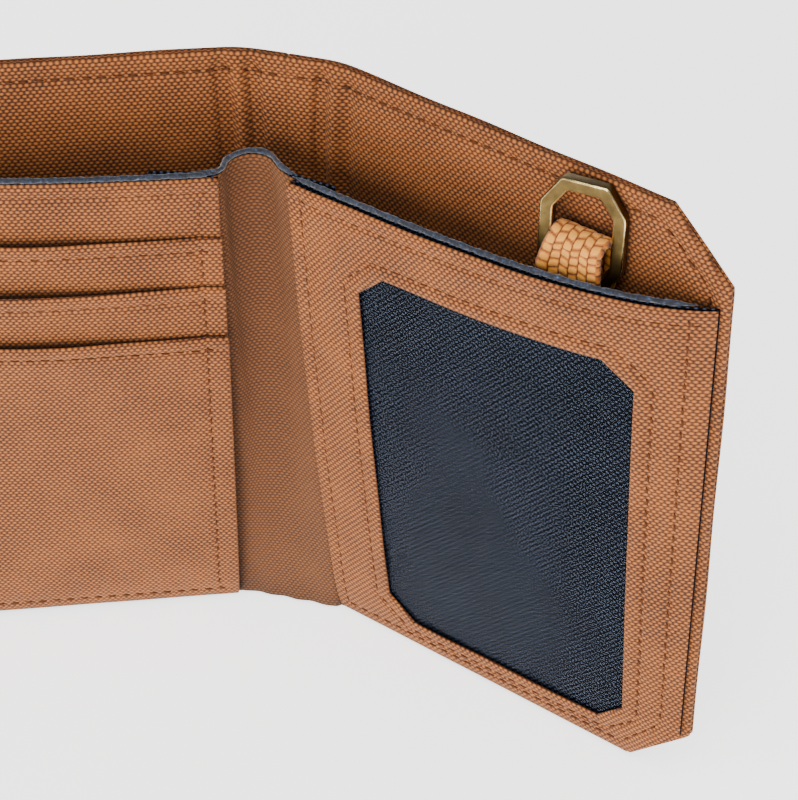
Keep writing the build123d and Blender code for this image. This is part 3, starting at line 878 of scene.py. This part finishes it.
outer = middle + loop_normal[:, None] * ((WEBBING / 2 - 0.32) * hug + 0.36 * lump)[..., None]
inner = middle - loop_normal[:, None] * (WEBBING / 2 - 0.1)
front_leg = front_leg[:, None]
across_grid = np.broadcast_to(across, lump.shape) * (1 + 0.12 * front_leg) - 0.3 * front_leg
push = 0.9 * np.clip((-across_grid - 2.4) / 2.2, 0, 1) * front_leg
front = leaf_spot(1, LOOP_ALONG + across_grid, outer[..., 0] + push, outer[..., 1])
back = leaf_spot(1, LOOP_ALONG + across_grid, inner[..., 0] + push, inner[..., 1])
# The weave coordinates carry the rib relief, which the webbing material turns into painted highlight on
# the crowns and painted shade between.
strap = slab("herringbone_webbing_loop", front, back, np.stack([lump, rib], -1))

# Herringbone cotton webbing: bright crowns on each slanted yarn and deep orange-brown between them,
# painted highlight and painted shade that follow the rib relief.
webbing_cloth, tree, shader = new_material("tan_herringbone_webbing")
crown_light_and_shade = add(tree, "ShaderNodeUVMap", uv_map="weave").outputs[0]
crown_light_and_shade = add(tree, "ShaderNodeSeparateXYZ", {0: crown_light_and_shade}).outputs[0]
place = add(tree, "ShaderNodeTexCoord").outputs["Object"]
strands = noise(tree, place, 2600.0, 3.0)[0]
mixed = arithmetic(tree, "MULTIPLY_ADD", strands, 0.35, crown_light_and_shade)
webbing_stops = [(0.3, "#3A1A02"), (0.62, "#88480A"), (0.92, "#BC6E12"), (1.0, "#DC922C")]
tree.links.new(ramp(tree, mixed, webbing_stops), shader.inputs["Base Color"])
relief(tree, shader, strands, 0.5, 0.0001)
finish(shader, Roughness=0.8, Sheen_Weight=0.2)
dress(strap, webbing_cloth)
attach(strap, "right_leaf")
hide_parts("webbing_loop")


# ---------------------------------------------------------------------------
# Key ring. A cast eight-sided loop of antique-plated zinc, hung on its lower bar in the webbing and
# leaning back against the liner. Its edges are bevelled, rubbed bright, and painted brighter still as
# painted highlight.
# ---------------------------------------------------------------------------
RING_WIDTH = 12.6
RING_HEIGHT = 18.0
RING_BAR = 1.9
RING_BEVEL = 0.34
RING_RUN = 2.9
RING_RISE = 4.4
RING_YAW = math.radians(-12.0)
RING_BAR_Z = 91.0
RING_LEAN = math.radians(4.0)
ring_low = (-RING_WIDTH / 2 + RING_BAR / 2, 0.0)
ring_high = (RING_WIDTH / 2 - RING_BAR / 2, RING_HEIGHT - RING_BAR)
slack = (RING_RUN + RING_RISE - math.hypot(RING_RUN, RING_RISE)) * RING_BAR / 2
centre_run, centre_rise = RING_RUN - slack / RING_RISE, RING_RISE - slack / RING_RUN
centre_line = [(ring_low[0] + centre_run, ring_low[1]), (ring_high[0] - centre_run, ring_low[1]),
               (ring_high[0], ring_low[1] + centre_rise), (ring_high[0], ring_high[1] - centre_rise),
               (ring_high[0] - centre_run, ring_high[1]), (ring_low[0] + centre_run, ring_high[1]),
               (ring_low[0], ring_high[1] - centre_rise), (ring_low[0], ring_low[1] + centre_rise)]
half = RING_BAR / 2
profile = []
for k in range(4):
    corner = np.array([(1, 1), (-1, 1), (-1, -1), (1, -1)][k]) * (half - RING_BEVEL)
    for t in np.linspace(0, math.pi / 2, 5):
        turn = k * math.pi / 2 + t
        bevel = RING_BEVEL * np.array([math.cos(turn), math.sin(turn)])
        # The second value is high on the bevels: rubbed edges that the material paints brighter as
        # painted highlight.
        profile.append((corner + bevel, abs(math.sin(2 * turn))))
ring_along, ring_in_way = direction(np.array(LEAF_TURN), 1)
cos_yaw, sin_yaw = math.cos(RING_YAW), math.sin(RING_YAW)
ring_along, ring_in_way = (ring_along * cos_yaw + ring_in_way * sin_yaw,
                           ring_in_way * cos_yaw - ring_along * sin_yaw)
ring_up = np.array([0, 0, 1]) * math.cos(RING_LEAN)
ring_up = ring_up - ring_in_way * math.sin(RING_LEAN)
ring_normal = ring_in_way * math.cos(RING_LEAN) + np.array([0, 0, 1]) * math.sin(RING_LEAN)
bar_centre = leaf_spot(1, LOOP_ALONG, LOOP_DEPTH / 2, RING_BAR_Z)
corners = np.array(centre_line, float)
sections = []
for k in range(8):
    into, out = corners[k] - corners[k - 1], corners[(k + 1) % 8] - corners[k]
    into, out = into / np.linalg.norm(into), out / np.linalg.norm(out)
    bisector = np.array([into[1] + out[1], -into[0] - out[0]])
    bisector /= np.linalg.norm(bisector)
    mitre = 1 / float(bisector @ np.array([into[1], -into[0]]))
    sections.append([corners[k] + bisector * mitre * sideways for (sideways, _), _ in profile])
sections = np.array(sections)
points, faces, marks = [], [], []
size = len(profile)
for k in range(8):
    for t in (0.05, 0.35, 0.65, 0.95):
        section = sections[k] * (1 - t) + sections[(k + 1) % 8] * t
        for flat, ((_, through_way), wear_and_highlight) in zip(section, profile):
            points.append(bar_centre + ring_along * flat[0] + ring_up * flat[1]
                          + ring_normal * through_way)
            marks.append((wear_and_highlight, 0.0))
count = len(points) // size
for k in range(count):
    for c in range(size):
        d = (c + 1) % size
        m = (k + 1) % count
        faces.append((k * size + c, k * size + d, m * size + d, m * size + c))
key_loop = solid("octagonal_key_ring", points, faces, marks)

# Antique brass plate on zinc: dull brown-gold flats, darker in patches, with every bevel painted bright
# as part real wear and part painted highlight.
antique, tree, shader = new_material("antique_brass_plate")
wear_and_highlight_mask = add(tree, "ShaderNodeUVMap", uv_map="weave").outputs[0]
wear_and_highlight_mask = add(tree, "ShaderNodeSeparateXYZ", {0: wear_and_highlight_mask}).outputs[0]
place = add(tree, "ShaderNodeTexCoord").outputs["Object"]
patches = noise(tree, place, 420.0, 5.0)[0]
fine = noise(tree, place, 3000.0, 2.0)[0]
toned = arithmetic(tree, "MULTIPLY", patches, 0.8)
mixed = arithmetic(tree, "MULTIPLY_ADD", arithmetic(tree, "POWER", wear_and_highlight_mask, 2.0), 0.5, toned)
brass_stops = [(0.2, "#3E321C"), (0.42, "#5C4B2B"), (0.62, "#7A6438"), (0.85, "#EBD79C")]
tree.links.new(ramp(tree, mixed, brass_stops), shader.inputs["Base Color"])
dull = add(tree, "ShaderNodeMapRange", {"Value": mixed}, From_Min=0.3, From_Max=0.9,
           To_Min=0.42, To_Max=0.2)
tree.links.new(dull.outputs[0], shader.inputs["Roughness"])
relief(tree, shader, fine, 0.2, 0.00005)
finish(shader, Metallic=1.0)
dress(key_loop, antique)
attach(key_loop, "key_ring")
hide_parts("key_ring")


# ---------------------------------------------------------------------------
# Stiffener boards. They're sewn up between the cover and the liner and never show, so the cloth
# stands for them too.
# ---------------------------------------------------------------------------
for word in ("left", "right"):
    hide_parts(f"{word}_stiffener")


# ---------------------------------------------------------------------------
# Floor, light and camera. A white sweep under a large soft key from the upper front left, with a
# fill from the left and a low ambient, so the note compartment falls off to deep brown.
# ---------------------------------------------------------------------------
work = bmesh.new()
sweep = []
for across_floor in (-3.0, 3.0):
    row = []
    for k in range(40):
        if k < 20:
            spot = (across_floor, -2.5 + 3.6 * k / 19, 0.0)
        else:
            turn = (k - 19) / 20 * math.pi / 2
            spot = (across_floor, 1.1 + 1.2 * math.sin(turn), 1.2 - 1.2 * math.cos(turn))
        row.append(work.verts.new(spot))
    sweep.append(row)
for k in range(39):
    work.faces.new((sweep[0][k], sweep[1][k], sweep[1][k + 1], sweep[0][k + 1]))
mesh = bpy.data.meshes.new("studio_sweep")
work.to_mesh(mesh)
work.free()
mesh.polygons.foreach_set("use_smooth", [True] * len(mesh.polygons))
floor = bpy.data.objects.new("studio_sweep", mesh)
bpy.context.scene.collection.objects.link(floor)
# White seamless paper, barely mottled.
paper, tree, shader = new_material("white_seamless_paper")
place = add(tree, "ShaderNodeTexCoord").outputs["Object"]
fibre = noise(tree, place, 30.0, 3.0)[0]
tree.links.new(ramp(tree, fibre, [(0.3, "#F4F4F3"), (0.7, "#F8F8F7")]), shader.inputs["Base Color"])
finish(shader, Roughness=0.9, Specular_IOR_Level=0.2, Emission_Color=linear("#FFFFFF"),
       Emission_Strength=2.0)
floor.data.materials.append(paper)


def soft_light(name, spot, target, size, power, tint="#FFFFFF"):
    """A square area light aimed at a point."""
    data = bpy.data.lights.new(name, "AREA")
    data.size = size
    data.energy = power
    data.color = linear(tint)[:3]
    lamp = bpy.data.objects.new(name, data)
    bpy.context.scene.collection.objects.link(lamp)
    lamp.location = spot
    lamp.rotation_euler = (Vector(target) - Vector(spot)).to_track_quat("-Z", "Y").to_euler()
    return lamp


MIDDLE = (0, -0.01, 0.05)
soft_light("key_light", (-0.2, -1.08, 0.42), MIDDLE, 0.6, 12.0, "#FFF9F2")
soft_light("fill_light", (-0.85, -0.6, 0.5), MIDDLE, 0.6, 3.5)
soft_light("top_light", (0.1, -0.4, 1.15), MIDDLE, 0.8, 11.0)
world = bpy.data.worlds.new("studio")
world.use_nodes = True
world.node_tree.nodes["Background"].inputs[0].default_value = linear("#F2F4F6")
world.node_tree.nodes["Background"].inputs[1].default_value = 0.33
bpy.context.scene.world = world

camera_data = bpy.data.cameras.new("camera")
camera_data.lens = 131.3
camera_data.sensor_width = 36.0
camera_data.clip_start = 0.01
camera = bpy.data.objects.new("camera", camera_data)
bpy.context.scene.collection.objects.link(camera)
camera.location = (0.10405, -0.33005, 0.34480)
forward = Vector((-0.1929, 0.7288, -0.6570)).normalized()
camera.rotation_euler = forward.to_track_quat("-Z", "Y").to_euler()
bpy.context.scene.camera = camera
